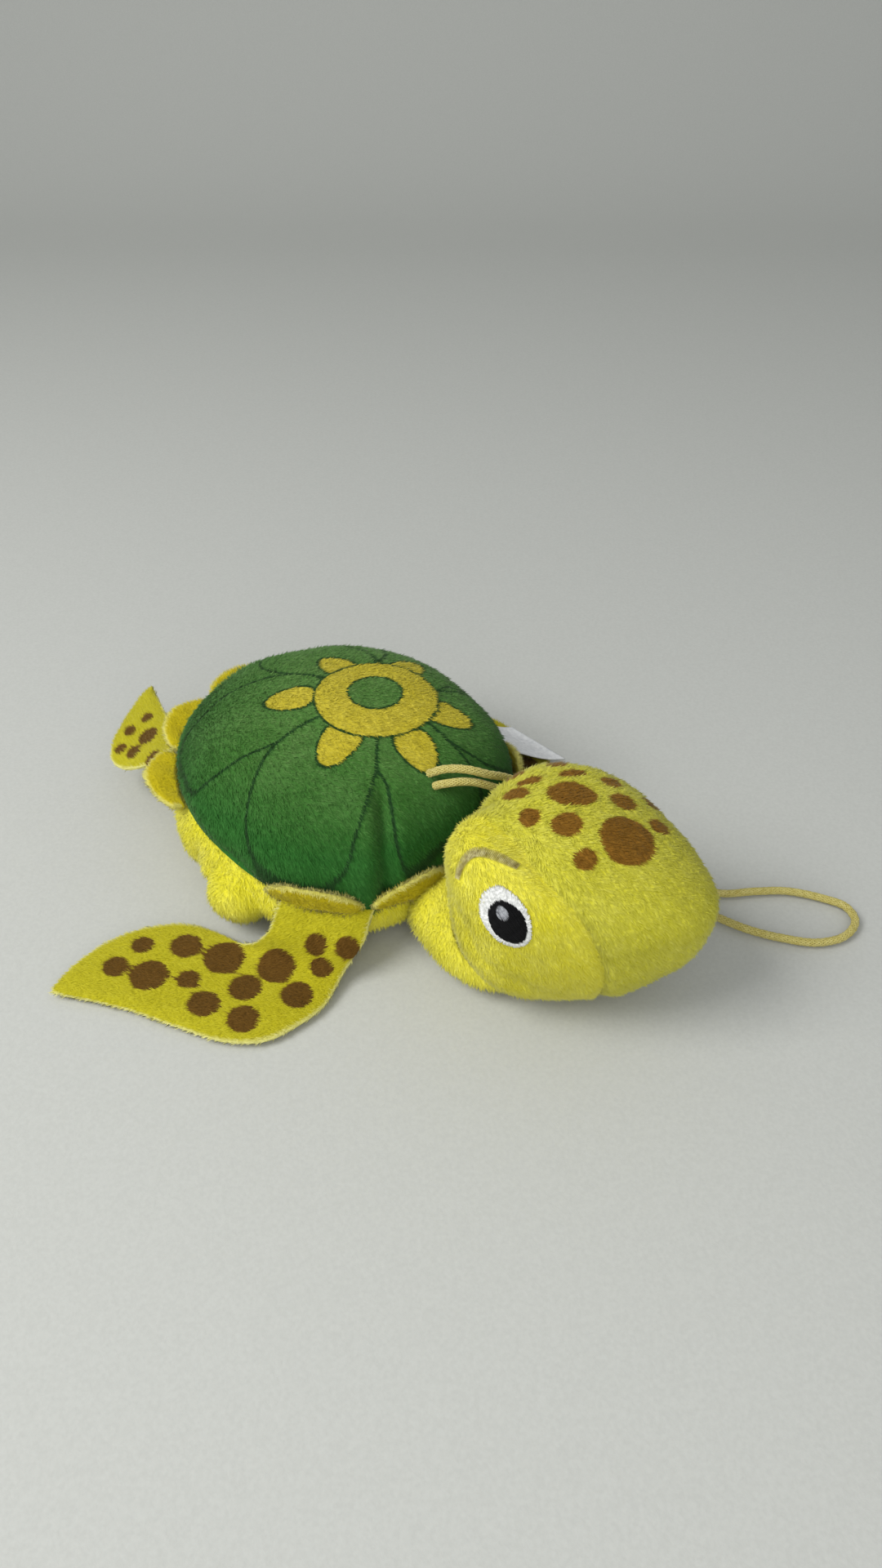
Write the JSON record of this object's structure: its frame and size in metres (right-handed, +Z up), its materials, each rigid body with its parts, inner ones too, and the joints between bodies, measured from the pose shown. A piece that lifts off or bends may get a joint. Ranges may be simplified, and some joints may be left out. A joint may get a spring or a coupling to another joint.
{
  "type": "stuffed toy turtle",
  "caption": "Small plush sea turtle with a domed printed shell, leaf-shaped flippers, a turning head, stitched eyes and a hanging loop.",
  "frame": {"origin": "on the surface that the belly rests on, under the middle of the shell's seam", "axes": "+Z up, -Y towards the head, +X to the turtle's left"},
  "size_m": [0.1458, 0.167, 0.0464],
  "materials": {
    "green_plush": "printed short pile",
    "yellow_plush": "short pile",
    "spotted_plush": "short pile printed with brown spots",
    "mustard_plush": "short pile",
    "white_thread": "satin stitch",
    "black_thread": "satin stitch",
    "grey_thread": "satin stitch",
    "tan_thread": "satin stitch",
    "polyester_fill": "loose fibre",
    "braided_cord": "braid",
    "satin_ribbon": "woven satin"
  },
  "bodies": {
    "body": {"shell_cover": "green_plush", "belly_cover": "yellow_plush", "body_stuffing": "polyester_fill", "shell_lobe_rear_1": "mustard_plush", "shell_lobe_rear_2": "mustard_plush", "shell_lobe_rear_3": "mustard_plush", "shell_lobe_rear_4": "mustard_plush", "shell_lobe_rear_5": "mustard_plush", "shell_lobe_front_1": "mustard_plush", "shell_lobe_front_2": "mustard_plush", "shell_lobe_front_3": "mustard_plush", "shell_lobe_front_4": "mustard_plush", "neck": "yellow_plush", "hang_cord": "braided_cord"},
    "head": {"crown_panel": "spotted_plush", "cheek_right": "yellow_plush", "cheek_left": "yellow_plush", "head_stuffing": "polyester_fill", "eye_white_right": "white_thread", "eye_pupil_right": "black_thread", "eye_glint_right": "grey_thread", "brow_right": "tan_thread", "eye_white_left": "white_thread", "eye_pupil_left": "black_thread", "eye_glint_left": "grey_thread", "brow_left": "tan_thread"},
    "front_flipper_right": {"front_flipper_right_bottom": "yellow_plush", "front_flipper_right_top": "spotted_plush"},
    "front_flipper_left": {"front_flipper_left_bottom": "yellow_plush", "front_flipper_left_top": "spotted_plush"},
    "rear_flipper_right": {"rear_flipper_right_bottom": "yellow_plush", "rear_flipper_right_top": "spotted_plush"},
    "rear_flipper_left": {"rear_flipper_left_bottom": "yellow_plush", "rear_flipper_left_top": "spotted_plush"},
    "label": {"care_label": "satin_ribbon"}
  },
  "joints": [
    {"name": "head_turn", "type": "hinge", "parent": "body", "child": "head", "pos_m": [0.0073, -0.0628, 0.0242], "axis": [0, 0, 1], "range_deg": [-24, 8]},
    {"name": "front_flipper_right_lift", "type": "hinge", "parent": "body", "child": "front_flipper_right", "pos_m": [-0.0277, -0.03102, 0.01054], "axis": [-0.6942, 0.7158, 0.0752], "range_deg": [-4, 55]},
    {"name": "front_flipper_left_lift", "type": "hinge", "parent": "body", "child": "front_flipper_left", "pos_m": [0.0277, -0.03102, 0.01054], "axis": [-0.6942, -0.7158, -0.0752], "range_deg": [-4, 6]},
    {"name": "rear_flipper_right_lift", "type": "hinge", "parent": "body", "child": "rear_flipper_right", "pos_m": [-0.02055, 0.03369, 0.01734], "axis": [0.8108, 0.5821, 0.0611], "range_deg": [-30, 25]},
    {"name": "rear_flipper_left_lift", "type": "hinge", "parent": "body", "child": "rear_flipper_left", "pos_m": [0.02055, 0.03369, 0.01734], "axis": [0.8108, -0.5821, -0.0611], "range_deg": [-6, 45]},
    {"name": "care_label_flap", "type": "hinge", "parent": "body", "child": "label", "pos_m": [0.03857, -0.00665, 0.0131], "axis": [-0.0665, -0.9923, -0.1042], "range_deg": [0, 45]}
  ]
}
